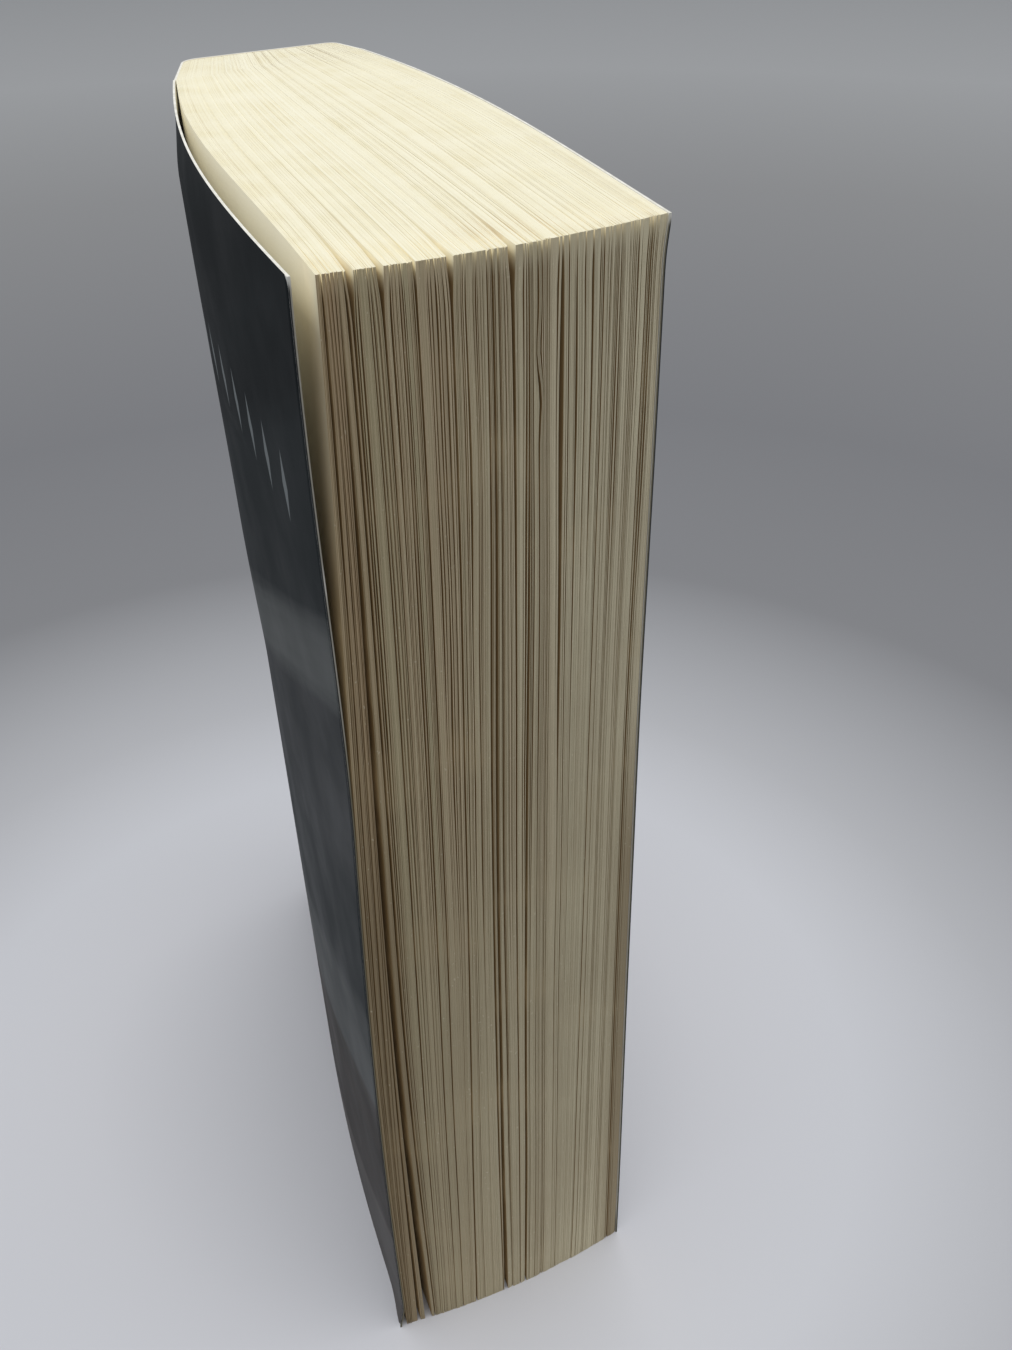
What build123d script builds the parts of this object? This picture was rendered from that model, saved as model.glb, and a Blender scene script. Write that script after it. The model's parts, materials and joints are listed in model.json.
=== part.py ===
from build123d import *
import os
from math import atan2, cos, degrees, hypot, radians, sin

# A thick, much-read paperback that stands upright on its tail. Sizes are in millimetres.
# +Z runs from tail to head, +Y from the fore edge to the spine, +X from the front cover to the back cover.
# The origin is on the tail plane, under the middle of the leaves.
os.makedirs("parts", exist_ok=True)

# Leaves
leaf_height = 175.0
leaf_width = 109.3
fore_thickness = 38.9
spine_thickness = 26.0
fore_bow = 1.5  # how far the middle leaves stand out past the outer ones
head_turn = 3.5  # degrees that the fore edge is turned at the head, against the tail
tail_splay = 1.3  # how far the first leaves fan out at the tail

# Reading has rolled the spine over towards the back cover, and its front edge round. These are at the head.
spine_shift = 8.3
spine_turn = 7.6  # degrees
spine_draw = 0.9  # how far the leaning leaves draw the spine in
spine_twist = 2.75  # degrees that the spine has turned further about the fore edge at the tail
front_round = 4.0  # radius of the block's front edge along the spine
back_round = 1.6  # the same at its back edge

# Lean of the outermost leaves from +Y towards +X, in degrees: at the fore edge, and where they leave the glue
front_fore_lean = 5.0
front_leaf_lean = 13.2
back_fore_lean = 6.0
back_leaf_lean = -7.0

# Binding
glue_thickness = 0.5
card_thickness = 0.3
front_strip = 15.0  # part of the front cover that lies flat on the first leaf, beside the spine
front_strip_lean = 18.4
back_strip = 7.0  # the same on the last leaf
back_strip_lean = -14.0
hinge_gap = 0.2  # free card at the scored hinge line
front_gap = 0.3  # clearance at the fore edge between the front cover and the first leaf, at the tail
back_gap = 0.12  # the same between the back cover and the last leaf, from tail to head
score_rise = 0.12  # how far the score lifts a cover off the leaf at its hinge

# The front cover has sprung away from the leaves, at the head more than at the tail.
front_lift = 2.15
front_setback = 0.7
front_cover_fore_lean = 1.4
front_cover_hinge_lean = 14.1

# Openings between groups of leaves at the fore edge: place across the thickness from the front cover,
# at the tail and at the head, as a share of it, then width of the mouth at the tail and at the head.
leaf_gaps = (
    (0.120, 0.084, 1.20, 0.35),
    (0.165, 0.130, 0.25, 0.25),
    (0.238, 0.212, 0.20, 0.40),
    (0.337, 0.340, 0.15, 0.50),
    (0.466, 0.474, 0.50, 0.50),
    (0.556, 0.567, 0.30, 0.30),
    (0.715, 0.690, 0.12, 0.25),
    (0.782, 0.806, 0.25, 0.15),
    (0.949, 0.960, 0.30, 0.30),
)
gap_depth = 0.28  # how far an opening reaches towards the spine, as a share of the leaf
mouth_margin = 1.0  # how far the cutting wedge starts outside the fore edge

TAIL, HEAD = 0, 1
spine_rounds = (front_round, back_round)
handle = leaf_width / 3  # reach of the tangents that shape a leaf's curve


def ahead(point, lean, distance):
    """The point at a distance from another, in a direction that leans from +Y towards +X."""
    return (point[0] + distance * sin(radians(lean)), point[1] + distance * cos(radians(lean)))


def between(first, last, share):
    """The point that lies a share of the way from first to last."""
    return tuple(a + (b - a) * share for a, b in zip(first, last))


def fore_corners(level):
    """The front and back corners of the fore edge, turned at the head and splayed at the tail."""
    turn = radians(head_turn if level == HEAD else 0)
    splay = tail_splay if level == TAIL else 0
    reach = fore_thickness / 2
    front = (-reach * cos(turn) - splay, -leaf_width / 2 - reach * sin(turn))
    back = (reach * cos(turn), -leaf_width / 2 + reach * sin(turn))
    return front, back


def spine_line(level):
    """The block's front and back corners along the spine, and how far the spine is turned, in degrees."""
    twist = spine_twist if level == TAIL else 0
    depth = leaf_width - spine_draw
    middle = ahead((0, -leaf_width / 2), degrees(atan2(spine_shift, depth)) + twist, hypot(spine_shift, depth))
    turn = spine_turn - twist
    return ahead(middle, -90 - turn, spine_thickness / 2), ahead(middle, 90 - turn, spine_thickness / 2), turn


def scores(level):
    """Where the flat strips beside the spine end: on the first leaf, and on the last one."""
    front, back, _ = spine_line(level)
    return ahead(front, front_strip_lean, -front_strip), ahead(back, back_strip_lean, -back_strip)


def bent(fore, fore_lean, score, score_lean):
    """Control points of a curve from the fore edge to the score, with its lean at each end."""
    return fore, ahead(fore, fore_lean, handle), ahead(score, score_lean, -handle), score


def leaf_curve(level, share):
    """One leaf's curve, by its place across the block from 0, the first leaf, to 1, the last."""
    front, back = fore_corners(level)
    fore = between(front, back, share)
    fore = (fore[0], fore[1] - 4 * fore_bow * share * (1 - share))
    score = between(*scores(level), share)
    fore_lean = front_fore_lean + (back_fore_lean - front_fore_lean) * share
    score_lean = front_leaf_lean + (back_leaf_lean - front_leaf_lean) * share
    return bent(fore, fore_lean, score, score_lean)


def on_curve(points, t):
    """The point at t, from 0 to 1, on the cubic curve with these control points."""
    first, second, third = (between(points[i], points[i + 1], t) for i in range(3))
    return between(between(first, second, t), between(second, third, t), t)


def block_profile(level):
    """Section through the text block: fanned at the fore edge, tight and rounded at the spine."""
    front_leaf, middle_leaf, back_leaf = (leaf_curve(level, share) for share in (0, 0.5, 1))
    spine_front, spine_back, _ = spine_line(level)
    with BuildSketch() as profile:
        with BuildLine():
            Bezier(*front_leaf)
            FilletPolyline(front_leaf[-1], spine_front, spine_back, back_leaf[-1], radius=spine_rounds)
            Bezier(*reversed(back_leaf))
            ThreePointArc(back_leaf[0], middle_leaf[0], front_leaf[0])
        make_face()
    return profile.sketch


def gap_profile(level, place, mouth):
    """Wedge between two leaves: open at the fore edge, and closed towards the spine."""
    curve = leaf_curve(level, place)
    outside = between(curve[0], curve[1], -mouth_margin / handle)
    with BuildSketch() as profile:
        with BuildLine():
            Polyline(
                (outside[0] - mouth / 2, outside[1]),
                on_curve(curve, gap_depth),
                (outside[0] + mouth / 2, outside[1]),
                close=True,
            )
        make_face()
    return profile.sketch


# All the leaves, trimmed and glued into one block
with BuildPart() as text_block:
    for level in (TAIL, HEAD):
        with BuildSketch(Plane.XY.offset(level * leaf_height)):
            add(block_profile(level))
    loft()
    for tail_place, head_place, tail_mouth, head_mouth in leaf_gaps:
        with BuildSketch(Plane.XY):
            add(gap_profile(TAIL, tail_place, tail_mouth))
        with BuildSketch(Plane.XY.offset(leaf_height)):
            add(gap_profile(HEAD, head_place, head_mouth))
        loft(mode=Mode.SUBTRACT)


def wrap_path(level):
    """Corners of the card's inner face round the spine. It lies on the glue there, so it stands past the
    block's corners by the glue's thickness."""
    spine_front, spine_back, turn = spine_line(level)
    front_score, back_score = scores(level)
    front_wrap = ahead(spine_front, front_strip_lean, glue_thickness / cos(radians(turn + front_strip_lean)))
    back_wrap = ahead(spine_back, back_strip_lean, glue_thickness / cos(radians(turn + back_strip_lean)))
    return front_score, front_wrap, back_wrap, back_score


# Film of binding glue along the spine
with BuildPart() as spine_glue:
    for level in (TAIL, HEAD):
        path = wrap_path(level)
        with BuildSketch(Plane.XY.offset(level * leaf_height)):
            with BuildLine():
                FilletPolyline(*path, radius=spine_rounds)
                Line(path[-1], path[0])
            make_face()
            add(block_profile(level), mode=Mode.SUBTRACT)
    loft()

# The cover's spine, with the two flat strips beside it, as far as the scored hinge lines
with BuildPart() as spine_cover:
    for level in (TAIL, HEAD):
        with BuildSketch(Plane.XY.offset(level * leaf_height)):
            with BuildLine():
                FilletPolyline(*wrap_path(level), radius=spine_rounds)
                offset(amount=card_thickness, side=Side.LEFT)
            make_face()
    loft()


def cover_profile(fore, fore_lean, score, score_lean, outward):
    """Section through a cover: card of one thickness, bent between its fore edge and the score.

    The points are on its inner face, and outward is the turn from its run to its outer face, in degrees.
    """
    outer_fore = ahead(fore, fore_lean + outward, card_thickness)
    outer_score = ahead(score, score_lean + outward, card_thickness)
    with BuildSketch() as profile:
        with BuildLine():
            Bezier(*bent(fore, fore_lean, score, score_lean))
            Line(score, outer_score)
            Bezier(*reversed(bent(outer_fore, fore_lean, outer_score, score_lean)))
            Line(outer_fore, fore)
        make_face()
    return profile.sketch


def hinge_end(score, lean, outward):
    """Where a cover's inner face starts: past the flat strip, and a little off the leaf."""
    return ahead(ahead(score, lean, -hinge_gap), lean + outward, score_rise)


TO_FRONT, TO_BACK = -90, 90  # turns from a leaf's run towards each cover

# The front cover lies along the first leaf at the tail and stands off it at the head.
with BuildPart() as front_cover:
    with BuildSketch(Plane.XY):
        first_leaf = fore_corners(TAIL)[0]
        fore = (first_leaf[0] - front_gap, first_leaf[1])
        hinge = hinge_end(scores(TAIL)[0], front_strip_lean, TO_FRONT)
        add(cover_profile(fore, front_fore_lean, hinge, front_leaf_lean, TO_FRONT))
    with BuildSketch(Plane.XY.offset(leaf_height)):
        first_leaf = fore_corners(HEAD)[0]
        fore = (first_leaf[0] - front_lift, first_leaf[1] + front_setback)
        hinge = hinge_end(scores(HEAD)[0], front_strip_lean, TO_FRONT)
        add(cover_profile(fore, front_cover_fore_lean, hinge, front_cover_hinge_lean, TO_FRONT))
    loft()

# The back cover lies along the last leaf from tail to head.
with BuildPart() as back_cover:
    for level in (TAIL, HEAD):
        with BuildSketch(Plane.XY.offset(level * leaf_height)):
            last_leaf = fore_corners(level)[1]
            fore = (last_leaf[0] + back_gap, last_leaf[1])
            hinge = hinge_end(scores(level)[1], back_strip_lean, TO_BACK)
            add(cover_profile(fore, back_fore_lean, hinge, back_leaf_lean, TO_BACK))
    loft()

text_block.part.label = "text_block"
spine_glue.part.label = "spine_glue"
spine_cover.part.label = "spine_cover"
front_cover.part.label = "front_cover"
back_cover.part.label = "back_cover"

export_step(text_block.part, "parts/text_block.step")
export_step(spine_glue.part, "parts/spine_glue.step")
export_step(spine_cover.part, "parts/spine_cover.step")
export_step(front_cover.part, "parts/front_cover.step")
export_step(back_cover.part, "parts/back_cover.step")
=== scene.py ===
import json
from math import atan2, cos, degrees, hypot, pi, radians, sin

import bpy
import numpy as np
from mathutils import Matrix, Vector


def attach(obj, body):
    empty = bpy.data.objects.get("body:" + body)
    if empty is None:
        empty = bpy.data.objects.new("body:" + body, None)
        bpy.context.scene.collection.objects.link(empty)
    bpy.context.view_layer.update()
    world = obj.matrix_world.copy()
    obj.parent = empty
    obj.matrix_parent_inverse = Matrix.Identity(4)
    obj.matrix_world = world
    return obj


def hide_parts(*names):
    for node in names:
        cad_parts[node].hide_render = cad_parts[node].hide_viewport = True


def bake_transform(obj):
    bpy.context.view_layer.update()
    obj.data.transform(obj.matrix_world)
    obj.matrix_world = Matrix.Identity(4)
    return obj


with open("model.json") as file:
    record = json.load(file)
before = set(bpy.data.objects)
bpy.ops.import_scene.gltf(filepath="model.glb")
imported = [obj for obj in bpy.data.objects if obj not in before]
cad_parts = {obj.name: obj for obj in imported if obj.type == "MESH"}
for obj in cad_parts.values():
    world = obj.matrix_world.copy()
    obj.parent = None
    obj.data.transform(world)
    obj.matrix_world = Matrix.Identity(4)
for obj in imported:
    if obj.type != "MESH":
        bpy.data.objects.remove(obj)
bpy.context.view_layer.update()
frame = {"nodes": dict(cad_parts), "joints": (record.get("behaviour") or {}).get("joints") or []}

# The looks of a thick, much-read paperback. Sizes are in metres, and leans and turns in degrees.
mm = 0.001
chance = np.random.default_rng(7)

# Camera
camera_place = Vector((-55.4, -174.5, 214.7)) * mm
camera_yaw = -24.74
camera_pitch = 34.45  # below the horizon
camera_roll = -0.71
camera_lens = 36.13

# Leaves, as in the construction
leaf_height = 175.0 * mm
leaf_width = 109.3 * mm
fore_thickness = 38.9 * mm
spine_thickness = 26.0 * mm
fore_bow = 1.5 * mm
head_turn = 3.5
tail_splay = 1.3 * mm
spine_shift = 8.3 * mm
spine_turn = 7.6
spine_draw = 0.9 * mm
spine_twist = 2.75
spine_rounds = (4.0 * mm, 1.6 * mm)
front_fore_lean = 5.0
front_leaf_lean = 13.2
back_fore_lean = 6.0
back_leaf_lean = -7.0

# Binding, as in the construction
glue_thickness = 0.5 * mm
card_thickness = 0.3 * mm
front_strip = 15.0 * mm
front_strip_lean = 18.4
back_strip = 7.0 * mm
back_strip_lean = -14.0
hinge_gap = 0.2 * mm
cover_gap = 0.12 * mm
score_rise = 0.12 * mm
front_lift = 2.15 * mm
front_setback = 0.7 * mm
front_cover_fore_lean = 1.4
front_cover_hinge_lean = 14.1

# Bends that paper and card have taken between tail and head. A height without a unit is a share of the
# leaf's height.
belly = 1.35 * mm  # how far the first leaves stand out towards the front cover, below the middle
belly_drop = 0.75  # power that brings its fullest point down to 0.4 of the height
belly_power = 1.5  # how slim it is
tail_draw = 1.25 * mm  # how far the first leaves are drawn in at the tail, against the construction
back_dip = 0.5 * mm  # how far the last leaves follow them
dip_height = 0.45  # where that dip is full
back_dip_more = 0.25 * mm  # the same, a little above the middle only
dip_more_height = 0.65
dip_more_reach = 0.16
back_flare = 0.42 * mm  # how far the last leaves stand out again at the head corner
flare_reach = 0.018
flare_power = 24  # how soon that ends on the way to the front cover
sway_power = 1.5  # how soon all these bends end on the way to the spine
spring_start = 0.6  # where the front cover starts to stand off the leaves
spring_power = 1.8
cover_bulge = 0.9 * mm  # how far that cover bulges beside its hinge, above the middle
bulge_start = 0.48
bulge_rise = 0.18
bulge_end = 0.04  # how far below the head it starts to end
bulge_power = 1.94  # power that brings its fullest point to 0.7 of the way to the hinge
foot_kick = 0.85 * mm  # how far its bottom corner is bent out
foot_height = 3.0 * mm
foot_length = 5.0 * mm

# Openings between groups of leaves, seen on the fore edge. First comes the place across the thickness from
# the front cover, as a share of it, at the tail, halfway up and at the head. Then comes the width of the
# mouth at the same heights, in millimetres.
openings = (
    (0.020, 0.054, 0.035, 0.10, 0.12, 0.12),
    (0.092, 0.075, 0.053, 1.20, 0.75, 0.02),
    (0.127, 0.115, 0.084, 0.08, 0.14, 0.28),
    (0.146, 0.163, 0.127, 0.08, 0.22, 0.10),
    (0.175, 0.194, 0.160, 0.06, 0.08, 0.26),
    (0.214, 0.242, 0.212, 0.10, 0.20, 0.10),
    (0.247, 0.276, 0.247, 0.08, 0.16, 0.18),
    (0.308, 0.354, 0.342, 0.28, 0.25, 0.27),
    (0.434, 0.449, 0.445, 0.12, 0.32, 0.14),
    (0.448, 0.468, 0.462, 0.65, 0.36, 0.14),
    (0.476, 0.490, 0.478, 0.08, 0.28, 0.16),
    (0.515, 0.537, 0.518, 0.06, 0.12, 0.34),
    (0.540, 0.571, 0.567, 0.40, 0.38, 0.14),
    (0.598, 0.625, 0.606, 0.04, 0.06, 0.17),
    (0.680, 0.705, 0.690, 0.04, 0.06, 0.12),
    (0.763, 0.800, 0.800, 0.10, 0.12, 0.14),
    (0.871, 0.892, 0.886, 0.04, 0.06, 0.08),
    (0.956, 0.955, 0.960, 0.16, 0.16, 0.12),
)
leaf_pitch = 0.102 * mm  # from one leaf to the next at the fore edge, openings left out
loose_air = 0.31  # share of a group's thickness at the fore edge that is air between its leaves
glued_air = 0.04  # share of a leaf's pitch that is air at the spine
closing_power = 1.35  # how soon an opening closes on its way to the spine
notch_flare = 0.5 * mm  # how much wider the wide openings are at the head corner of the fore edge
notch_height = 3.0 * mm
notch_power = 16  # how soon that ends on the way to the spine
notched_mouth = 0.15  # mouths at the head that are wider than this are notched, in millimetres
notched_fully = 0.1  # and fully so when they are wider by this

TAIL, HEAD = 0, 1
TO_FRONT, TO_BACK = -90, 90  # turns from a leaf's run towards each cover
handle = leaf_width / 3
fore_line = -leaf_width / 2


def ahead(point, lean, distance):
    """Points at a distance from others, in a direction that leans from +Y towards +X by some degrees."""
    lean = np.radians(lean)
    step = np.broadcast_arrays(distance * np.sin(lean), distance * np.cos(lean))
    return np.asarray(point) + np.stack(step, -1)


def between(first, last, share):
    """Points that lie a share of the way from first to last."""
    return first + (last - first) * np.asarray(share)[..., None]


def smooth(value):
    """Eased step from 0 to 1."""
    value = np.clip(value, 0, 1)
    return value * value * (3 - 2 * value)


def hump(value, middle, reach):
    """Bell of height 1 about a middle."""
    return np.exp(-(((value - middle) / reach) ** 2))


# Outlines at the two ends of the book, in plan

def fore_corners(level):
    """The front and back corners of the fore edge, turned at the head and splayed at the tail."""
    turn = radians(head_turn if level == HEAD else 0)
    splay = tail_splay if level == TAIL else 0
    reach = fore_thickness / 2
    front = np.array([-reach * cos(turn) - splay, fore_line - reach * sin(turn)])
    back = np.array([reach * cos(turn), fore_line + reach * sin(turn)])
    return front, back


def spine_line(level):
    """The block's front and back corners along the spine, and how far the spine is turned, in degrees."""
    twist = spine_twist if level == TAIL else 0
    depth = leaf_width - spine_draw
    middle = ahead((0, fore_line), degrees(atan2(spine_shift, depth)) + twist, hypot(spine_shift, depth))
    turn = spine_turn - twist
    front = ahead(middle, -90 - turn, spine_thickness / 2)
    back = ahead(middle, 90 - turn, spine_thickness / 2)
    return front, back, turn


def scores(level):
    """Where the flat strips beside the spine end: on the first leaf, and on the last one."""
    front, back, _ = spine_line(level)
    return ahead(front, front_strip_lean, -front_strip), ahead(back, back_strip_lean, -back_strip)


def bent(fore, fore_lean, score, score_lean):
    """Control points of a curve from the fore edge to the score, with its lean at each end."""
    return fore, ahead(fore, fore_lean, handle), ahead(score, score_lean, -handle), score


def leaf_curve(level, share):
    """Control points of the leaves, by their place across the block from 0, the first, to 1, the last."""
    front, back = fore_corners(level)
    fore = between(front, back, share)
    fore[..., 1] -= 4 * fore_bow * share * (1 - share)
    score = between(*scores(level), share)
    fore_lean = front_fore_lean + (back_fore_lean - front_fore_lean) * share
    score_lean = front_leaf_lean + (back_leaf_lean - front_leaf_lean) * share
    return bent(fore, fore_lean, score, score_lean)


def cover_curve(level, side):
    """Control points of a cover's inner face, from its fore edge to its hinge."""
    leaf = leaf_curve(level, np.array(float(side == "back")))
    front_score, back_score = scores(level)
    if side == "back":
        hinge = hinge_end(back_score, back_strip_lean, TO_BACK)
        return bent(leaf[0] + (cover_gap, 0), back_fore_lean, hinge, back_leaf_lean)
    hinge = hinge_end(front_score, front_strip_lean, TO_FRONT)
    if level == TAIL:
        return bent(leaf[0] - (cover_gap, 0), front_fore_lean, hinge, front_leaf_lean)
    fore = leaf[0] + (-front_lift, front_setback)
    return bent(fore, front_cover_fore_lean, hinge, front_cover_hinge_lean)


def hinge_end(score, lean, outward):
    """Where a cover's inner face starts: past the flat strip, and a little off the leaf."""
    return ahead(ahead(score, lean, -hinge_gap), lean + outward, score_rise)


def on_curve(points, run):
    """Points of a cubic curve with these control points, at run from 0 to 1."""
    run = np.asarray(run)[..., None]
    rest = 1 - run
    first, second, third, fourth = points
    return first * rest**3 + 3 * second * rest**2 * run + 3 * third * rest * run**2 + fourth * run**3


# Surfaces between tail and head

def closer_at_ends(count, amount):
    """Heights from 0 to 1 that are closer together at the tail and the head."""
    even = np.linspace(0, 1, count)
    return even - amount * np.sin(2 * pi * even) / (2 * pi)


def at_height(shape, height, *arguments):
    """A shape's value at heights from 0 to 1, straight from its value at the tail to that at the head."""
    return between(shape(TAIL, *arguments), shape(HEAD, *arguments), height)


def fore_sway(share, height):
    """How far leaves stand from their straight line at the fore edge, towards the back cover."""
    front = tail_draw * (1 - height) - belly * np.sin(pi * height**belly_drop).clip(0) ** belly_power
    back = -back_dip * smooth(height / dip_height)
    back = back - back_dip_more * hump(height, dip_more_height, dip_more_reach)
    corner = back_flare * hump(height, 1, flare_reach) * share**flare_power
    return front * (1 - share) + back * share + corner


def corner_cut(distance, radius, angle):
    """How much of a leaf a rounded corner of the spine takes away, at a distance from the block's side."""
    to_centre = radius / np.sin(angle)
    reach = radius / np.tan(angle / 2)
    off = np.clip(distance, 0, reach) - to_centre
    cut = to_centre - off * np.cos(angle) - np.sqrt((radius**2 - (off * np.sin(angle)) ** 2).clip(0))
    return np.where(distance < reach, cut, 0)


def leaf_points(share, height, run):
    """Points of the leaves, by place across the block, height, and run from 0 at the fore edge,
    through 1 at the score, to 2 at the spine."""
    share, height, run = np.broadcast_arrays(share, height, run)
    controls = [between(*ends, height) for ends in zip(leaf_curve(TAIL, share), leaf_curve(HEAD, share))]
    free = on_curve(controls, np.minimum(run, 1))
    free[..., 0] += fore_sway(share, height) * (1 - np.minimum(run, 1)) ** sway_power
    front, back = (at_height(lambda level: spine_line(level)[end], height) for end in (0, 1))
    end = between(front, back, share)
    turn = spine_turn - spine_twist * (1 - height)
    across = share * spine_thickness
    front_angle = np.radians(90 + turn + front_strip_lean)
    back_angle = np.radians(90 - turn - back_strip_lean)
    cut = corner_cut(across, spine_rounds[0], front_angle)
    cut = cut + corner_cut(spine_thickness - across, spine_rounds[1], back_angle)
    strip = np.linalg.norm(end - controls[-1], axis=-1)
    glued = between(controls[-1], end, np.maximum(run - 1, 0) * (1 - cut / strip))
    return np.where(run[..., None] <= 1, free, glued)


def cover_points(side, height, run):
    """Inner face of a cover, by height, and run from 0 at its fore edge to 1 at its hinge."""
    height, run = np.broadcast_arrays(height, run)
    share = float(side == "back")
    leaf = leaf_points(share, height, run)
    off = [
        on_curve(cover_curve(level, side), run) - on_curve(leaf_curve(level, np.array(share)), run)
        for level in (TAIL, HEAD)
    ]
    if side == "back":
        return leaf + between(*off, height)
    spring = np.sin(pi / 2 * np.clip((height - spring_start) / (1 - spring_start), 0, 1)) ** spring_power
    bulge = smooth((height - bulge_start) / bulge_rise) * smooth((1 - height) / bulge_end)
    bulge = bulge * np.sin(pi * run**bulge_power) ** 2
    foot = hump(height * leaf_height, 0, foot_height) * hump(run * leaf_width, 0, foot_length)
    points = leaf + between(*off, spring)
    points[..., 0] -= cover_bulge * bulge + foot_kick * foot
    return points


def along_height(height, tail, middle, head):
    """A place that changes smoothly from tail to head through its value halfway up."""
    from_tail = tail * (1 - height) * (1 - 2 * height)
    from_middle = 4 * middle * height * (1 - height)
    from_head = head * height * (2 * height - 1)
    return from_tail + from_middle + from_head


def mouth_width(height, tail, middle, head):
    """Width of an opening, which changes mostly near the tail and the head."""
    end = np.where(height < 0.5, tail, head)
    return (middle + (end - middle) * (2 * height - 1) ** 2) * mm


def notch_width(height, head):
    """How much wider an opening is right at the head, if it is one of the wide ones there."""
    wide = smooth((head - notched_mouth) / notched_fully)
    return notch_flare * hump(height * leaf_height, leaf_height, notch_height) * wide


# Meshes

def sheet_faces(rows, columns):
    """Quads of a closed sheet between two grids of points, with a kind for each: 0 first face, 1 second
    face, 2 head and tail edges, 3 fore edge, 4 spine edge. Rows go up, and columns run towards the spine."""
    first = np.arange(rows * columns).reshape(rows, columns)
    second = first + rows * columns

    def strip(a, b, c, d):
        return np.stack([a.ravel(), b.ravel(), c.ravel(), d.ravel()], 1)

    faces = (
        strip(first[:-1, :-1], first[1:, :-1], first[1:, 1:], first[:-1, 1:]),
        strip(second[:-1, :-1], second[:-1, 1:], second[1:, 1:], second[1:, :-1]),
        strip(first[-1, :-1], second[-1, :-1], second[-1, 1:], first[-1, 1:]),
        strip(first[0, :-1], first[0, 1:], second[0, 1:], second[0, :-1]),
        strip(first[:-1, 0], second[:-1, 0], second[1:, 0], first[1:, 0]),
        strip(second[:-1, -1], first[:-1, -1], first[1:, -1], second[1:, -1]),
    )
    kinds = np.concatenate([np.full(len(part), kind) for part, kind in zip(faces, (0, 1, 2, 2, 3, 4))])
    return np.concatenate(faces), kinds


def new_piece(name, points, faces, kinds, materials, kind_material, **numbers):
    """An object with a mesh of these points and faces. Its materials go by the kind of face, and read the
    numbers that it holds at each point."""
    mesh = bpy.data.meshes.new(name)
    mesh.from_pydata(points.tolist(), [], faces.tolist())
    for material in materials:
        mesh.materials.append(material)
    mesh.polygons.foreach_set("material_index", np.choose(kinds, kind_material).astype(np.int32))
    mesh.polygons.foreach_set("use_smooth", kinds < 2)
    for key, values in numbers.items():
        attribute = mesh.attributes.new(key, "FLOAT", "POINT")
        attribute.data.foreach_set("value", np.asarray(values, np.float32))
    mesh.update()
    piece = bpy.data.objects.new(name, mesh)
    bpy.context.scene.collection.objects.link(piece)
    return piece


# Materials

class Look:
    """A material with one Principled shader, and short calls for the nodes that feed it."""

    def __init__(self, name):
        self.material = bpy.data.materials.new(name)
        self.material.use_nodes = True
        self.tree = self.material.node_tree
        self.shader = self.tree.nodes["Principled BSDF"]

    def put(self, socket, value):
        """Links a socket to a value's node, or sets it."""
        if isinstance(value, bpy.types.NodeSocket):
            self.tree.links.new(value, socket)
        elif isinstance(value, tuple) and socket.type == "RGBA":
            socket.default_value = (*value, 1)
        else:
            socket.default_value = value

    def node(self, kind, values=(), **settings):
        """A node with its own settings by name, and some of its inputs by name or number."""
        node = self.tree.nodes.new(kind)
        for key, value in settings.items():
            setattr(node, key, value)
        for key, value in dict(values).items():
            self.put(node.inputs[key], value)
        return node

    def number(self, name):
        """A number that the mesh holds at each point."""
        return self.node("ShaderNodeAttribute", attribute_name=name).outputs["Fac"]

    def place(self):
        """The object's own coordinates."""
        return self.node("ShaderNodeTexCoord").outputs["Object"]

    def axis(self, name):
        """One of those coordinates, in metres."""
        return self.node("ShaderNodeSeparateXYZ", {0: self.place()}).outputs[name]

    def math(self, operation, first, second=0.0):
        return self.node("ShaderNodeMath", {0: first, 1: second}, operation=operation).outputs[0]

    def span(self, value, start, stop, low=0.0, high=1.0):
        """A value's way from start to stop as a number from low to high, eased at both ends."""
        values = {"Value": value, "From Min": start, "From Max": stop, "To Min": low, "To Max": high}
        return self.node("ShaderNodeMapRange", values, interpolation_type="SMOOTHSTEP").outputs[0]

    def noise(self, scale, detail, stretch=(1, 1, 1), spread=0.5, place=None):
        """Noise in the object's own metres, or at a place, stretched along some axes, with its values in the
        spread about the middle brought to 0 to 1."""
        mapping = {"Vector": place or self.place(), "Scale": stretch}
        vector = self.node("ShaderNodeMapping", mapping).outputs[0]
        values = {"Vector": vector, "Scale": scale, "Detail": detail}
        noise = self.node("ShaderNodeTexNoise", values).outputs["Fac"]
        values = {"Value": noise, "From Min": 0.5 - spread / 2, "From Max": 0.5 + spread / 2}
        return self.node("ShaderNodeMapRange", values).outputs[0]

    def ramp(self, value, *stops):
        """Colour ramp of (position, colour) stops."""
        node = self.node("ShaderNodeValToRGB", {"Fac": value})
        elements = node.color_ramp.elements
        while len(elements) < len(stops):
            elements.new(1.0)
        for element, (position, colour) in zip(elements, stops):
            element.position = position
            element.color = (*colour, 1)
        return node.outputs["Color"]

    def mix(self, factor, first, second):
        """The first colour, going over to the second as the factor goes from 0 to 1."""
        values = {0: factor, 6: first, 7: second}
        return self.node("ShaderNodeMix", values, data_type="RGBA").outputs[2]

    def finish(self, colour, roughness, specular, grain, grain_depth):
        """Feeds the shader, with a bump from the grain, and gives the material."""
        self.put(self.shader.inputs["Base Color"], colour)
        self.put(self.shader.inputs["Roughness"], roughness)
        self.put(self.shader.inputs["Specular IOR Level"], specular)
        bump = self.node("ShaderNodeBump", {"Height": grain, "Distance": grain_depth, "Strength": 1.0})
        self.put(self.shader.inputs["Normal"], bump.outputs[0])
        return self.material


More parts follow.
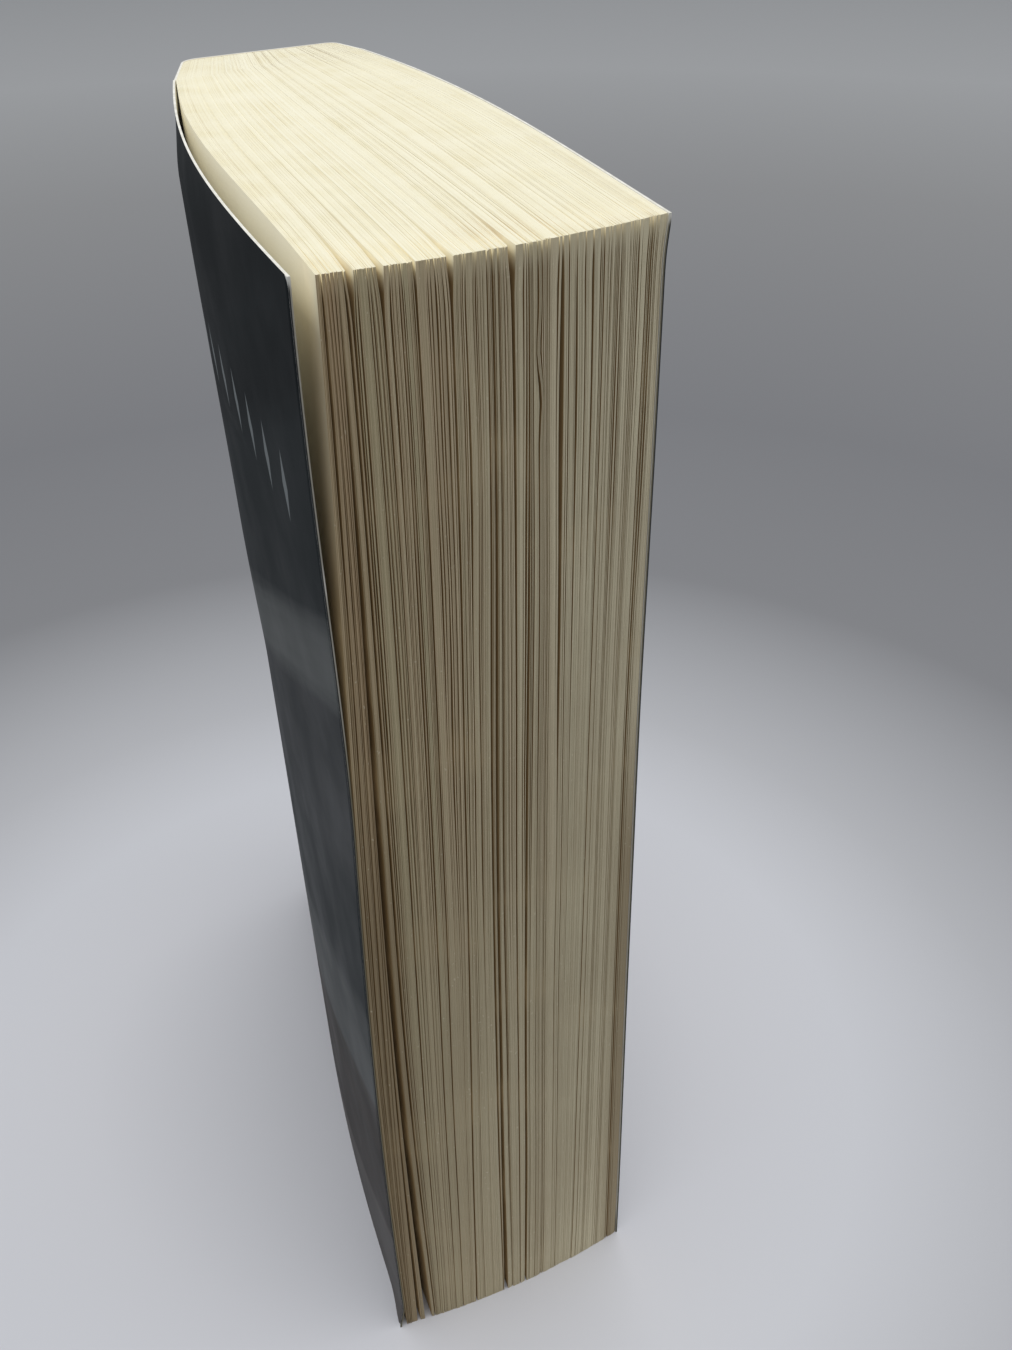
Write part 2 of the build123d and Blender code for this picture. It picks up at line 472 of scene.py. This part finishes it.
def page_material():
    """Face of a leaf: cream bulky paper, toned along its fore edge and darker there with painted shade
    inside the openings, but pale right at the head with painted light falling in from above. On the first
    leaf the painted shade lessens towards the head as painted light, and the pale part reaches further down."""
    look = Look("page")
    colour = look.mix(look.noise(90, 3), (0.80, 0.745, 0.56), (0.84, 0.79, 0.61))
    # Toned paper and painted shade inside the openings, both darker towards the fore edge.
    edge_tone_and_shade = look.span(look.axis("Y"), fore_line + 14 * mm, fore_line - 1.0 * mm)
    # On the first leaf, painted light from above lessens that painted shade towards the head.
    first = look.span(look.axis("Z"), leaf_height - 45 * mm, leaf_height - 8 * mm, 0.95, 0.55)
    edge_tone_and_shade = look.math("MULTIPLY", edge_tone_and_shade, look.math("MAXIMUM", look.number("inner"), first))
    # Painted light falling in from above: pale at the head, 12 mm down on the first leaf and 3 mm on the
    # others.
    head_light_reach = look.span(look.number("inner"), 0.0, 1.0, 12 * mm, 3 * mm)
    painted_head_light = look.math("DIVIDE", look.math("SUBTRACT", look.axis("Z"), leaf_height), head_light_reach)
    painted_head_light = look.span(painted_head_light, -1.0, 0.0)
    brown = look.mix(painted_head_light, (0.30, 0.20, 0.09), (0.92, 0.84, 0.60))
    colour = look.mix(edge_tone_and_shade, colour, brown)
    stain = look.math("MULTIPLY", edge_tone_and_shade, look.span(look.noise(75, 3), 0.45, 0.95, 0.0, 0.6))
    colour = look.mix(stain, colour, (0.60, 0.46, 0.26))
    # Glue stain near the spine, which also serves as painted shade in the narrow wedge between the front
    # cover and the first leaf.
    glue_stain_and_shade = look.span(look.axis("Y"), leaf_width / 2 - 22 * mm, leaf_width / 2 - 6 * mm)
    colour = look.mix(glue_stain_and_shade, colour, (0.46, 0.38, 0.25))
    return look.finish(colour, 0.93, 0.2, look.noise(2500, 4), 0.01 * mm)


def cut_material():
    """Trimmed head and tail of the leaves, a little different from leaf to leaf."""
    look = Look("cut_edge")
    colour = look.ramp(
        look.number("tone"), (0.0, (0.66, 0.58, 0.37)), (0.3, (0.80, 0.75, 0.54)), (1.0, (0.88, 0.85, 0.69))
    )
    colour = look.mix(look.span(look.noise(160, 3), 0.0, 1.0, 0.0, 0.7), colour, (0.87, 0.84, 0.68))
    return look.finish(colour, 0.92, 0.2, look.noise(5000, 4), 0.02 * mm)


def fore_material():
    """Trimmed fore edge of the leaves, in bundles that lean to brown or to green. Painted shade makes it
    duller in the lower half and darkest low down beside both covers, and painted light makes it lighter
    towards the back cover."""
    look = Look("fore_edge")
    brown = look.ramp(look.number("tone"), (0.0, (0.34, 0.235, 0.13)), (1.0, (0.74, 0.59, 0.385)))
    green = look.ramp(look.number("tone"), (0.0, (0.36, 0.305, 0.17)), (1.0, (0.72, 0.66, 0.43)))
    colour = look.mix(look.number("tint"), brown, green)
    # Painted shade: duller in the lower half.
    pressed = look.span(look.axis("Z"), 130 * mm, 60 * mm, 0.0, 0.78)
    colour = look.mix(pressed, colour, (0.43, 0.37, 0.24))
    # Painted light: lighter towards the back cover, more so higher up.
    across = look.span(look.axis("X"), -22 * mm, 16 * mm)
    across = look.math("MULTIPLY", across, look.span(look.axis("Z"), 70 * mm, 150 * mm, 0.58, 0.85))
    colour = look.mix(across, colour, (0.84, 0.78, 0.57))
    # Painted shade: darkest low down beside both covers.
    low = look.span(look.axis("Z"), 120 * mm, 85 * mm, 0.0, 0.65)
    beside_back = look.span(look.axis("X"), 15 * mm, 18.5 * mm)
    beside_front = look.span(look.axis("X"), -14 * mm, -18 * mm)
    shade_beside_covers = look.math("ADD", beside_back, beside_front)
    colour = look.mix(look.math("MULTIPLY", low, shade_beside_covers), colour, (0.25, 0.18, 0.10))
    soil = look.noise(55, 4, (1, 1, 0.5), 0.4)
    colour = look.mix(look.math("MULTIPLY", soil, 0.30), colour, (0.30, 0.235, 0.15))
    fibre = look.noise(5200, 2, (1, 1, 0.06), 0.5)
    colour = look.mix(look.math("MULTIPLY", fibre, 0.22), colour, (0.36, 0.29, 0.19))
    fleck = look.span(look.noise(2400, 1, (1, 1, 0.6), 0.5), 0.97, 1.04)
    colour = look.mix(fleck, colour, (0.80, 0.74, 0.56))
    return look.finish(colour, 0.92, 0.2, fibre, 0.03 * mm)


def glue_material():
    """Yellowed hot-melt glue."""
    look = Look("binding_glue")
    colour = look.ramp(look.noise(400, 3), (0.0, (0.62, 0.55, 0.38)), (1.0, (0.74, 0.68, 0.52)))
    return look.finish(colour, 0.45, 0.4, look.noise(900, 2), 0.05 * mm)


def worn(look, colour):
    """The print's colour, worn to the white card along its edges and at its corners, and scuffed."""
    up = look.axis("Z")
    fore = look.number("across")
    head = look.math("SUBTRACT", leaf_height, up)
    rough = look.noise(900, 3, spread=0.6)
    edge = look.math("MINIMUM", look.math("MINIMUM", head, up), fore)
    edge = look.span(look.math("DIVIDE", edge, look.math("ADD", rough, 0.25)), 0.05 * mm, 0.02 * mm)
    corner = look.math("ADD", look.math("MINIMUM", head, up), fore)
    corner = look.span(look.math("DIVIDE", corner, look.math("ADD", rough, 0.6)), 1.0 * mm, 0.75 * mm)
    wear = look.math("MAXIMUM", edge, corner)
    scuff = look.span(look.noise(60, 5, (1, 0.25, 3.0), 0.5), 0.72, 1.0, 0.0, 0.10)
    colour = look.mix(scuff, colour, (0.22, 0.23, 0.23))
    return look.mix(wear, colour, (0.84, 0.84, 0.80))


lozenge_count = 8
lozenge_pitch = 8.5 * mm
lozenge_width = 2.2 * mm
lozenge_height = 9.0 * mm
lozenge_middle = 148 * mm  # above the tail
lozenge_blur = 0.1 * mm
band_slope = 0.45  # how far a band's border falls for each metre away from the fore edge


def lozenges(look):
    """A row of slim upright lozenges across the cover: 1 inside them."""
    fore = look.number("across")
    place = look.math("SUBTRACT", look.math("FRACT", look.math("DIVIDE", fore, lozenge_pitch)), 0.5)
    side = look.math("MULTIPLY", look.math("ABSOLUTE", place), 2 * lozenge_pitch / lozenge_width)
    above = look.math("SUBTRACT", look.axis("Z"), lozenge_middle)
    rise = look.math("MULTIPLY", look.math("ABSOLUTE", above), 2 / lozenge_height)
    inside = look.span(look.math("ADD", side, rise), 1.05, 0.9)
    row_end = (lozenge_count + 1) * lozenge_pitch
    from_fore = look.span(fore, lozenge_pitch, lozenge_pitch + lozenge_blur)
    from_hinge = look.span(fore, row_end + lozenge_blur, row_end)
    return look.math("MULTIPLY", inside, look.math("MULTIPLY", from_fore, from_hinge))


def print_material(name, ornament):
    """Laminated print: slanted bands of slate, blue-grey and mauve with brushed borders, with or without the
    row of lozenges."""
    look = Look(name)
    fore, up = look.number("across"), look.axis("Z")
    over = look.math("ADD", up, look.math("MULTIPLY", fore, band_slope))
    along = look.math("SUBTRACT", fore, look.math("MULTIPLY", up, band_slope))
    strokes = look.node("ShaderNodeCombineXYZ", {0: along, 1: over}).outputs[0]
    brush = look.noise(300, 4, (0.05, 1, 1), place=strokes)
    over = look.math("ADD", over, look.math("MULTIPLY", brush, 2.5 * mm))
    mauve = (0.125, 0.114, 0.108)
    brown = (0.064, 0.055, 0.050)
    blue = (0.105, 0.113, 0.113)
    slate = (0.055, 0.059, 0.063)
    pale = (0.155, 0.165, 0.163)
    dark = (0.022, 0.028, 0.031)
    night = (0.007, 0.010, 0.012)
    bands = (
        (0.00, mauve), (0.11, mauve), (0.12, brown), (0.25, brown), (0.26, blue), (0.33, blue), (0.35, dark),
        (0.44, dark), (0.46, slate), (0.56, slate), (0.575, pale), (0.61, pale), (0.625, dark), (0.72, dark),
        (0.74, night), (0.90, night), (1.00, dark),
    )
    colour = look.ramp(look.math("DIVIDE", over, leaf_height + band_slope * leaf_width), *bands)
    shade = look.noise(90, 4, (0.07, 1, 1), place=strokes)
    colour = look.mix(look.math("MULTIPLY", shade, 0.55), colour, (0.014, 0.020, 0.023))
    if ornament:
        colour = look.mix(look.math("MULTIPLY", lozenges(look), 0.8), colour, (0.30, 0.33, 0.34))
    colour = worn(look, colour)
    grain = look.noise(1600, 2)
    roughness = look.span(look.noise(70, 3), 0.0, 1.0, 0.52, 0.68)
    return look.finish(colour, roughness, 0.12, grain, 0.006 * mm)


def card_inside_material():
    """Bare inner face of the card, with painted shade at its foot corner."""
    look = Look("card_inside")
    colour = look.mix(look.noise(120, 4), (0.70, 0.68, 0.61), (0.79, 0.78, 0.72))
    # Painted shade: darker towards the foot corner.
    foot = look.math("ADD", look.axis("Z"), look.number("across"))
    colour = look.mix(look.span(foot, 8 * mm, 2 * mm, 0.0, 0.8), colour, (0.13, 0.12, 0.10))
    return look.finish(colour, 0.8, 0.25, look.noise(3000, 3), 0.01 * mm)


def card_edge_material():
    """Cut edge of the card: white along the head, and darker below it along the fore edge, by an amount that
    each piece gives.
    """
    look = Look("card_edge")
    colour = look.mix(look.noise(700, 4), (0.66, 0.65, 0.58), (0.90, 0.89, 0.84))
    # Darker below the head, by the number that each piece holds.
    below = look.span(look.axis("Z"), leaf_height - 0.2 * mm, leaf_height - 1.5 * mm)
    soil = look.math("MULTIPLY", below, look.number("soil"))
    colour = look.mix(soil, colour, (0.16, 0.14, 0.085))
    film = look.math("MULTIPLY", below, look.span(look.number("outside"), 0.4, 0.65))
    colour = look.mix(film, colour, (0.03, 0.033, 0.036))
    return look.finish(colour, 0.85, 0.2, look.noise(2500, 3), 0.02 * mm)


# The leaves, in groups between the openings

leaf_rows = 28
ripple_rows = 72  # for the group that is rippled
end_rows = 0.8  # how much closer together the rows of all but the first group are at the tail and the head
leaf_columns = np.concatenate([np.linspace(0, 1, 12) ** 1.25, [1.34, 1.7, 1.9, 2.0]])  # runs in leaf_points
block_sides = ((0, 0, 0, 0, 0, 0), (1, 1, 1, 0, 0, 0))  # written as openings

# Gaps between the leaves of a group. A share of them is wide, a larger share is at least narrow, and the
# rest are nearly shut.
wide_share = 0.09
narrow_share = 0.38

# Where the leaves lie pressed together: below a height that is greater towards the back cover, and not in
# the first leaves. Heights and places across the block are shares.
pressed_height = 0.62
pressed_higher = 0.3  # how much greater that height is towards the back cover
higher_from = 0.5
higher_within = 0.3
pressed_fade = 0.25
pressed_from = 0.08
pressed_within = 0.12
pressed_less = 0.84  # how much of the air is gone there
head_close = 0.975  # height from which the leaves also lie closer
head_fade = 0.02
head_less = 0.45  # how much of the air is gone there

# One bundle of leaves is rippled. Places and heights are shares.
ripple_place = 0.604
ripple_width = 0.012
ripple_height = 0.922
ripple_reach = 0.028
ripple_start = 0.87  # height where its wave crosses the middle
ripple_rate = 62
ripple_size = 0.5  # in millimetres, as the two sizes below
slow_wave = 0.10
quick_wave = 0.03

bundle_leaves = 3  # leaves that share a tone, a tint and an inset
bundle_spread = 0.15  # how far a bundle's tone and tint stray to each side
bundle_tint_gain = 2.2
leaf_tone_spread = 0.2
sunk_share = 0.08  # share of the leaves that are sunk at the fore edge
low_share = 0.1  # share of the leaves that end lower at the head


def fore_length(height):
    """Thickness of the block at the fore edge."""
    front, back = fore_corners(TAIL)
    straight = (back - front)[0] * (1 - height) + fore_thickness * height
    return straight + fore_sway(1.0, height) - fore_sway(0.0, height)


def opening_side(opening, height, side, notched=0):
    """Where an opening ends across the block, on its front side (-1) or back side (1)."""
    place = along_height(height, *opening[:3])
    width = mouth_width(height, *opening[3:]) + notched * notch_width(height, opening[-1])
    return place + side * width / 2 / fore_length(height)


def fine_gaps(count, height):
    """Shares of a group's air that lie after each leaf but the last, at each height."""
    kind = chance.uniform(0, 1, count - 1)
    narrow = chance.uniform(0.03, 0.09, count - 1)
    shut = chance.uniform(0.001, 0.006, count - 1)
    wide = chance.uniform(0.18, 0.34, count - 1)
    width = np.where(kind < wide_share, wide, np.where(kind < narrow_share, narrow, shut))
    phase = chance.uniform(0, 2 * pi, (3, 1, count - 1))
    turns = height[:, None] * 2 * pi
    change = 0.7 * np.sin(turns * 0.6 + phase[0]) + 0.4 * np.sin(turns * 1.7 + phase[1])
    width = width * np.exp(change + 0.22 * np.sin(turns * 4.3 + phase[2]))
    return width / width.sum(1, keepdims=True)


def leaf_places(start, stop, loose, gaps):
    """Where each leaf of a group starts across the block at the fore edge, and how thick it is there."""
    count = gaps.shape[1] + 1
    air = np.zeros((len(gaps), count))
    air[:, 1:] = gaps * (loose * (stop - start))[:, None]
    thickness = ((stop - start) * (1 - loose) / count)[:, None]
    return start[:, None] + np.cumsum(air, 1) + thickness * np.arange(count), thickness


def cockle(share, height):
    """Gentle waves of the leaves, and one sharper ripple, as a shift across the block."""
    slow = np.sin(9 * share + 5.1 * height + 0.4) * np.sin(7.3 * height + 2 * share)
    quick = np.sin(31 * share - 3 * height) * np.sin(21 * height + 11 * share + 1)
    ripple = hump(share, ripple_place, ripple_width) * hump(height, ripple_height, ripple_reach)
    ripple = ripple * np.sin((height - ripple_start) * ripple_rate)
    return (slow_wave * slow + quick_wave * quick + ripple_size * ripple) * mm / fore_thickness


def looseness(middle, height):
    """Share of a group's thickness at the fore edge that is air, by place across the block and height."""
    top = pressed_height + pressed_higher * smooth((middle - higher_from) / higher_within)
    pressed = smooth((top - height) / pressed_fade) * smooth((middle - pressed_from) / pressed_within)
    closed = smooth((height - head_close) / head_fade)
    return loose_air * (1 - head_less * closed - pressed_less * pressed)


def rarely(share, low, high):
    """A random number from low to high for a share of the leaves, and 0 for the others."""
    return chance.uniform(low, high) if chance.uniform() < share else 0.0


def leaf_group(number, before, after, first_leaf, count, total):
    """The leaves between two openings, each a closed sheet. The block's leaves are numbered from 0, and
    first_leaf is the number of the group's first one."""
    rippled = before[2] < ripple_place < after[2] + 0.02
    rows = ripple_rows if rippled else leaf_rows
    height = closer_at_ends(rows + 1, end_rows if first_leaf else 0.0)
    starts = [opening_side(before, height, 1, notched) for notched in (0, 1)]
    stops = [opening_side(after, height, -1, notched) for notched in (0, 1)]
    loose = looseness((starts[0] + stops[0]) / 2, height)
    gaps = fine_gaps(count, height)
    fanned, notched = (leaf_places(*ends, loose, gaps) for ends in zip(starts, stops))
    faces, kinds = sheet_faces(rows + 1, len(leaf_columns))
    level, run = height[:, None], leaf_columns[None, :]
    opened = np.clip(1 - run, 0, 1) ** closing_power
    at_corner = np.clip(1 - run, 0, 1) ** notch_power
    group_tone = chance.uniform(0.42, 0.6)
    group_tint = chance.uniform(0.2, 0.8)
    group_inset = chance.uniform(0, 0.1)
    group_tint *= float(smooth((before[1] - 0.05) / 0.05))  # the first leaves are the brownest
    points, all_faces, tones, tints, inner = [], [], [], [], []
    for leaf in range(count):
        if leaf % bundle_leaves == 0:
            bundle_tone, bundle_tint = chance.uniform(-bundle_spread, bundle_spread, 2)
            bundle_inset = chance.uniform(0, 0.08)
        sunk = rarely(sunk_share, 0.1, 0.25)
        inset = (group_inset + bundle_inset + chance.uniform(0, 0.05) + sunk) * mm
        drop = chance.uniform(0, 0.02) * mm + rarely(low_share, 0, 0.08) * mm
        inset_run = inset / leaf_width + (1 - inset / leaf_width) * run
        leaf_run = np.where(run < 1, inset_run, run)
        for side in (0, 1):
            glued = (first_leaf + leaf + side + (0.5 - side) * glued_air) / total
            free, wide = (low[:, leaf : leaf + 1] + side * thickness for low, thickness in (fanned, notched))
            share = glued + (free - glued) * opened + (wide - free) * at_corner
            share = np.clip(share + cockle(share, level) * opened * np.sin(pi * share), 0, 1)
            flat = leaf_points(share, level, leaf_run)
            rise = np.broadcast_to(level * (leaf_height - drop), flat.shape[:2])
            points.append(np.concatenate([flat, rise[..., None]], -1).reshape(-1, 3))
            inner.append(np.full(len(points[0]), float(first_leaf + leaf + side > 0)))
        all_faces.append(faces + leaf * 2 * len(points[0]))
        tone = np.clip(group_tone + bundle_tone + chance.normal(0, leaf_tone_spread), 0, 1)
        tones.append(np.full(2 * len(points[0]), tone))
        tint = np.clip(group_tint + bundle_tint_gain * bundle_tint, 0, 1)
        tints.append(np.full(2 * len(points[0]), tint))
    piece = new_piece(
        f"leaves_{number:02d}",
        np.concatenate(points),
        np.concatenate(all_faces),
        np.tile(kinds, count),
        (page, cut_edge, fore_edge),
        (0, 0, 1, 2, 1),
        tone=np.concatenate(tones),
        tint=np.concatenate(tints),
        inner=np.concatenate(inner),
    )
    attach(piece, "book")
    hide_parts("text_block")


def all_leaves():
    """Every group of leaves from the front cover to the back one."""
    borders = (block_sides[0], *openings, block_sides[1])
    height = np.linspace(0, 1, leaf_rows + 1)
    groups = list(zip(borders, borders[1:]))
    widths = [
        (opening_side(after, height, -1) - opening_side(before, height, 1)) * fore_length(height)
        for before, after in groups
    ]
    counts = [max(2, round(float(width.mean()) / leaf_pitch)) for width in widths]
    first_leaf = 0
    for number, ((before, after), count) in enumerate(zip(groups, counts), 1):
        leaf_group(number, before, after, first_leaf, count, sum(counts))
        first_leaf += count


page = page_material()
cut_edge = cut_material()
fore_edge = fore_material()
all_leaves()

# The glue keeps its constructed shape.
glue = frame["nodes"]["spine_glue"]
glue.data.materials.clear()
glue.data.materials.append(glue_material())

# The cover

strip_reach = 3.0 * mm  # how far a cover piece goes on past its score, on the glued strip
fold_reach = 0.35 * mm  # how far the fold at the score reaches to each side
strip_columns = np.array([0.0, 0.1, 0.2, 0.3, 0.45, 0.6, 0.8, 1.3, 2.0, 3.0]) * mm
spine_start = leaf_width - front_strip + strip_reach  # where the spine's piece starts, from the fore edge
cover_row_count = 89
panel_column_count = 45
corner_steps = 11
cover_rows = closer_at_ends(cover_row_count, 0.9)
panel_columns = np.linspace(0, 1, panel_column_count) ** 1.2
back_soil = 0.92  # how dark the back cover's cut edge is below the head, from 0 to 1
spine_soil = 0.5


def front_soil():
    """How dark the front cover's cut edge is below the head, from 0 to 1: more from 0.72 of the height down,
    and less at one spot above."""
    height = cover_rows[:, None]
    return 0.62 + 0.33 * smooth((0.72 - height) / 0.08) - 0.5 * hump(height, 0.815, 0.006)


def outer_face(inner, outward):
    """The points of a card's outer face, one card's thickness from its inner face. Outward is -1 where it
    lies to the left of the columns' run, seen from above, and 1 where it lies to the right."""
    steps = np.diff(inner, axis=1)
    steps /= np.linalg.norm(steps, axis=-1, keepdims=True)
    along = np.concatenate([steps[:, :1], steps[:, :-1] + steps[:, 1:], steps[:, -1:]], 1)
    along /= np.linalg.norm(along, axis=-1, keepdims=True)
    return inner + np.stack([along[..., 1], -along[..., 0]], -1) * outward * card_thickness


def card_piece(name, inner, outward, soil, print_look, start=0.0):
    """A piece of the wrapper from its inner face, in plan at each row. Its first column lies at start from
    the cover's fore edge, and its first face is the one to the left of the columns' run."""
    length = np.linalg.norm(np.diff(inner, axis=1), axis=-1)
    across = start + np.concatenate([np.zeros((len(inner), 1)), np.cumsum(length, 1)], 1)
    rise = np.broadcast_to(cover_rows[:, None, None] * leaf_height, (*across.shape, 1))
    plans = [outer_face(inner, outward), inner]
    inner_first = outward > 0
    if inner_first:
        plans.reverse()
    points = [np.concatenate([plan, rise], -1).reshape(-1, 3) for plan in plans]
    faces, kinds = sheet_faces(*across.shape)
    return new_piece(
        name,
        np.concatenate(points),
        faces,
        kinds,
        (print_look, card_inside, card_edge),
        (1, 0, 2, 2, 2) if inner_first else (0, 1, 2, 2, 2),
        across=np.tile(across.ravel(), 2),
        soil=np.tile(np.broadcast_to(soil, across.shape).ravel(), 2),
        outside=np.repeat((0.0, 1.0) if inner_first else (1.0, 0.0), across.size),
    )


def cover_panel(side, soil, print_look):
    """One cover with the part of its glued strip beside the score."""
    end, outward, strip_lean = (0, -1, front_strip_lean) if side == "front" else (1, 1, back_strip_lean)
    height = cover_rows[:, None]
    panel = cover_points(side, height, panel_columns[None, :])
    strip = at_height(lambda level: ahead(scores(level)[end], strip_lean, strip_columns), height)
    inner = np.concatenate([panel, strip], axis=1)
    piece = card_piece(f"cover_{side}", inner, outward, soil, print_look)
    hinge = next(joint for joint in frame["joints"] if joint["child"] == side)
    line = Vector(hinge["axis"])
    fold = Vector((sin(radians(strip_lean)), cos(radians(strip_lean)), 0)) * fold_reach
    fold -= line * (fold.dot(line) / line.length_squared)
    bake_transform(piece)
    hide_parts(f"{side}_cover")


def rounded_corner(corner, before, after, radius):
    """Points of an arc that rounds a corner of a path."""
    to_before = (before - corner) / np.linalg.norm(before - corner)
    to_after = (after - corner) / np.linalg.norm(after - corner)
    half = np.arccos(to_before @ to_after) / 2
    centre = corner + (to_before + to_after) / np.linalg.norm(to_before + to_after) * radius / sin(half)
    first = corner + to_before * radius / np.tan(half) - centre
    last = corner + to_after * radius / np.tan(half) - centre
    angle = pi - 2 * half
    return [
        centre + (sin((1 - share) * angle) * first + sin(share * angle) * last) / sin(angle)
        for share in np.linspace(0, 1, corner_steps)
    ]


def spine_path(level):
    """Inner face of the card round the spine, from the front seam to the back one."""
    front, back, turn = spine_line(level)
    front_score, back_score = scores(level)
    front_wrap = ahead(front, front_strip_lean, glue_thickness / cos(radians(turn + front_strip_lean)))
    back_wrap = ahead(back, back_strip_lean, glue_thickness / cos(radians(turn + back_strip_lean)))
    start = ahead(front_score, front_strip_lean, strip_reach)
    stop = ahead(back_score, back_strip_lean, strip_reach)
    path = [between(start, front_wrap, np.array(share)) for share in (0, 0.25, 0.5, 0.7)]
    path += rounded_corner(front_wrap, start, back_wrap, spine_rounds[0])
    path += [between(front_wrap, back_wrap, np.array(share)) for share in np.linspace(0.15, 0.92, 16)]
    path += rounded_corner(back_wrap, front_wrap, stop, spine_rounds[1])
    return np.array([*path, between(back_wrap, stop, np.array(0.6)), stop])


def cover_spine():
    """The card round the spine, between the two covers' pieces."""
    inner = at_height(spine_path, cover_rows[:, None])
    piece = card_piece("cover_spine", inner, -1, spine_soil, plain_print, spine_start)
    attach(piece, "book")
    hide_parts("spine_cover")


front_print = print_material("front_print", True)
plain_print = print_material("plain_print", False)
card_inside = card_inside_material()
card_edge = card_edge_material()
cover_panel("front", front_soil(), front_print)
cover_panel("back", back_soil, plain_print)
cover_spine()

# Stage

floor_reach = 6.0
lamp_place = (0.05, -0.1, 2.2)
lamp_aim = (0, 0, 0.15)
lamp_size = 1.8
lamp_power = 37
lamp_colour = (1.0, 0.98, 0.95)
room_colour = (0.93, 0.96, 1.0)
room_strength = 0.42


def floor_material():
    """Plain floor with painted light and shade by distance from the book: a painted pool of light round the
    book, darkest a third of a metre off, and lighter again beyond.
    """
    look = Look("floor")
    distance = look.node("ShaderNodeVectorMath", {0: look.place()}, operation="LENGTH").outputs["Value"]
    # Painted light and shade: the floor's colour is set by distance from the book.
    colour = look.ramp(
        distance,
        (0.06, (0.66, 0.67, 0.715)),
        (0.09, (0.595, 0.61, 0.655)),
        (0.125, (0.44, 0.45, 0.48)),
        (0.20, (0.22, 0.225, 0.24)),
        (0.32, (0.195, 0.20, 0.215)),
        (0.65, (0.265, 0.27, 0.28)),
        (1.0, (0.37, 0.38, 0.395)),
    )
    return look.finish(colour, 0.95, 0.05, look.noise(300, 2), 0.01 * mm)


def floor():
    """A wide level floor."""
    mesh = bpy.data.meshes.new("floor")
    corners = [(x * floor_reach, y * floor_reach, 0) for x, y in ((-1, -1), (1, -1), (1, 1), (-1, 1))]
    mesh.from_pydata(corners, [], [(0, 1, 2, 3)])
    mesh.materials.append(floor_material())
    piece = bpy.data.objects.new("floor", mesh)
    bpy.context.scene.collection.objects.link(piece)


def overhead_light():
    """A square soft light above the book."""
    lamp = bpy.data.lights.new("overhead", "AREA")
    lamp.shape = "SQUARE"
    lamp.size = lamp_size
    lamp.energy = lamp_power
    lamp.color = lamp_colour
    light = bpy.data.objects.new("overhead", lamp)
    bpy.context.scene.collection.objects.link(light)
    light.location = lamp_place
    light.rotation_euler = (Vector(lamp_place) - Vector(lamp_aim)).to_track_quat("Z", "Y").to_euler()


def room_light():
    """Even light from all round."""
    world = bpy.data.worlds.new("room")
    world.use_nodes = True
    background = world.node_tree.nodes["Background"]
    background.inputs["Color"].default_value = (*room_colour, 1)
    background.inputs["Strength"].default_value = room_strength
    bpy.context.scene.world = world


def camera():
    """The photo's view."""
    view = bpy.data.objects.new("camera", bpy.data.cameras.new("camera"))
    view.data.lens = camera_lens
    view.data.clip_start = 0.01
    view.matrix_world = (
        Matrix.Translation(camera_place)
        @ Matrix.Rotation(radians(camera_yaw), 4, "Z")
        @ Matrix.Rotation(radians(90 - camera_pitch), 4, "X")
        @ Matrix.Rotation(radians(camera_roll), 4, "Z")
    )
    bpy.context.scene.collection.objects.link(view)
    bpy.context.scene.camera = view


floor()
overhead_light()
room_light()
camera()
bpy.context.scene.view_settings.view_transform = "Standard"
